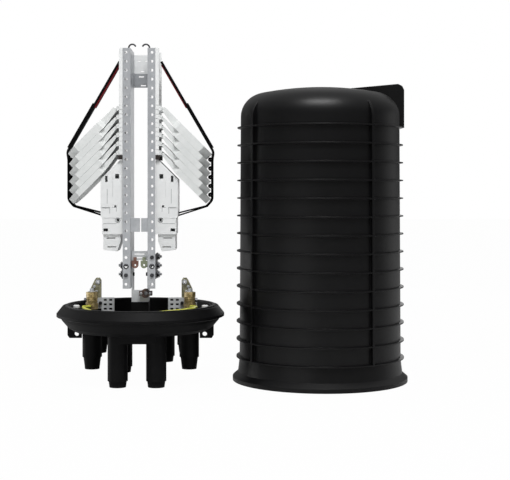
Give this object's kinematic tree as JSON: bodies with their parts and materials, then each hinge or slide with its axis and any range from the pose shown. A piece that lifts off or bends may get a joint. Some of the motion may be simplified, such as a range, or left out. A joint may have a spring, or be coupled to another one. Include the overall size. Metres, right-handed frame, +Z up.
{
  "type": "fibre splice closure",
  "caption": "Dome-type fibre splice closure shown opened: a ported base with a perforated frame, hinged splice trays and strap-held stacks, and its ribbed dome cover standing beside it.",
  "frame": {"origin": "middle of the whole arrangement, on the floor that the ports and the dome's rim stand on", "axes": "+X from the base to the dome, +Y to the back, +Z up"},
  "size_m": [0.699, 0.3478, 0.666],
  "materials": {
    "black_moulding": "satin black moulded polymer",
    "seal_rubber": "black sealing rubber",
    "white_plastic": "white moulded plastic",
    "tray_plastic": "light grey moulded plastic",
    "zinc_steel": "zinc-plated sheet steel",
    "dark_steel": "darkened steel fasteners",
    "copper": "copper-coloured lug",
    "green_zinc": "green-yellow passivated steel",
    "olive_zinc": "olive passivated steel",
    "brass": "turned brass",
    "dark_plastic": "black clamp plastic",
    "strap_fabric": "woven hook-and-loop strap",
    "earth_wire": "yellow-green wire insulation"
  },
  "bodies": {
    "closure": {"dome_cover": "black_moulding", "base_housing": "black_moulding", "sealing_ring": "seal_rubber", "left_plug": "white_plastic", "right_plug": "white_plastic", "left_rail": "zinc_steel", "right_rail": "zinc_steel", "left_rail_bolts": "dark_steel", "right_rail_bolts": "dark_steel", "top_bracket": "zinc_steel", "top_plate": "white_plastic", "left_cross_plate": "zinc_steel", "right_cross_plate": "zinc_steel", "foot_bracket": "zinc_steel", "copper_lug": "copper", "green_lug": "green_zinc", "face_screws": "dark_steel", "bottom_clamp": "dark_plastic", "spring_hooks": "dark_steel", "left_hinge_strip": "white_plastic", "right_hinge_strip": "white_plastic", "left_carrier": "white_plastic", "right_carrier": "white_plastic", "left_module": "white_plastic", "right_module": "white_plastic", "left_strip_clip": "dark_plastic", "right_strip_clip": "dark_plastic", "left_bolt_plate": "dark_steel", "right_bolt_plate": "dark_steel", "left_strap": "strap_fabric", "right_strap": "strap_fabric", "left_anchor_plate": "zinc_steel", "right_anchor_plate": "zinc_steel", "left_brass_clamp": "brass", "right_brass_clamp": "brass", "left_tall_clamp": "olive_zinc", "right_tall_clamp": "olive_zinc", "left_clamp_bolt": "dark_steel", "right_clamp_bolt": "dark_steel", "left_earth_wire": "earth_wire", "right_earth_wire": "earth_wire"},
    "left_tray_1_body": {"left_tray_1": "tray_plastic"},
    "left_tray_2_body": {"left_tray_2": "tray_plastic"},
    "left_tray_3_body": {"left_tray_3": "tray_plastic"},
    "left_tray_4_body": {"left_tray_4": "tray_plastic"},
    "left_tray_5_body": {"left_tray_5": "tray_plastic"},
    "left_tray_6_body": {"left_tray_6": "tray_plastic"},
    "right_tray_1_body": {"right_tray_1": "tray_plastic"},
    "right_tray_2_body": {"right_tray_2": "tray_plastic"},
    "right_tray_3_body": {"right_tray_3": "tray_plastic"},
    "right_tray_4_body": {"right_tray_4": "tray_plastic"},
    "right_tray_5_body": {"right_tray_5": "tray_plastic"},
    "right_tray_6_body": {"right_tray_6": "tray_plastic"}
  },
  "joints": [
    {"name": "left_tray_1_hinge", "type": "hinge", "parent": "closure", "child": "left_tray_1_body", "pos_m": [-0.2252, 0, 0.54], "axis": [0, 1, 0], "range_deg": [0, 80], "deforming": ["left_strap"]},
    {"name": "left_tray_2_hinge", "type": "hinge", "parent": "closure", "child": "left_tray_2_body", "pos_m": [-0.2252, 0, 0.5225], "axis": [0, 1, 0], "range_deg": [0, 80]},
    {"name": "left_tray_3_hinge", "type": "hinge", "parent": "closure", "child": "left_tray_3_body", "pos_m": [-0.2252, 0, 0.505], "axis": [0, 1, 0], "range_deg": [0, 80]},
    {"name": "left_tray_4_hinge", "type": "hinge", "parent": "closure", "child": "left_tray_4_body", "pos_m": [-0.2252, 0, 0.4875], "axis": [0, 1, 0], "range_deg": [0, 80]},
    {"name": "left_tray_5_hinge", "type": "hinge", "parent": "closure", "child": "left_tray_5_body", "pos_m": [-0.2252, 0, 0.47], "axis": [0, 1, 0], "range_deg": [0, 80]},
    {"name": "left_tray_6_hinge", "type": "hinge", "parent": "closure", "child": "left_tray_6_body", "pos_m": [-0.2252, 0, 0.4525], "axis": [0, 1, 0], "range_deg": [0, 80]},
    {"name": "right_tray_1_hinge", "type": "hinge", "parent": "closure", "child": "right_tray_1_body", "pos_m": [-0.1398, 0, 0.54], "axis": [0, -1, 0], "range_deg": [0, 80], "deforming": ["right_strap"]},
    {"name": "right_tray_2_hinge", "type": "hinge", "parent": "closure", "child": "right_tray_2_body", "pos_m": [-0.1398, 0, 0.5225], "axis": [0, -1, 0], "range_deg": [0, 80]},
    {"name": "right_tray_3_hinge", "type": "hinge", "parent": "closure", "child": "right_tray_3_body", "pos_m": [-0.1398, 0, 0.505], "axis": [0, -1, 0], "range_deg": [0, 80]},
    {"name": "right_tray_4_hinge", "type": "hinge", "parent": "closure", "child": "right_tray_4_body", "pos_m": [-0.1398, 0, 0.4875], "axis": [0, -1, 0], "range_deg": [0, 80]},
    {"name": "right_tray_5_hinge", "type": "hinge", "parent": "closure", "child": "right_tray_5_body", "pos_m": [-0.1398, 0, 0.47], "axis": [0, -1, 0], "range_deg": [0, 80]},
    {"name": "right_tray_6_hinge", "type": "hinge", "parent": "closure", "child": "right_tray_6_body", "pos_m": [-0.1398, 0, 0.4525], "axis": [0, -1, 0], "range_deg": [0, 80]}
  ],
  "couplings": [
    {"joint": "left_tray_2_hinge", "follows": "left_tray_1_hinge", "ratio": 1},
    {"joint": "left_tray_3_hinge", "follows": "left_tray_1_hinge", "ratio": 1},
    {"joint": "left_tray_4_hinge", "follows": "left_tray_1_hinge", "ratio": 1},
    {"joint": "left_tray_5_hinge", "follows": "left_tray_1_hinge", "ratio": 1},
    {"joint": "left_tray_6_hinge", "follows": "left_tray_1_hinge", "ratio": 1},
    {"joint": "right_tray_2_hinge", "follows": "right_tray_1_hinge", "ratio": 1},
    {"joint": "right_tray_3_hinge", "follows": "right_tray_1_hinge", "ratio": 1},
    {"joint": "right_tray_4_hinge", "follows": "right_tray_1_hinge", "ratio": 1},
    {"joint": "right_tray_5_hinge", "follows": "right_tray_1_hinge", "ratio": 1},
    {"joint": "right_tray_6_hinge", "follows": "right_tray_1_hinge", "ratio": 1}
  ]
}
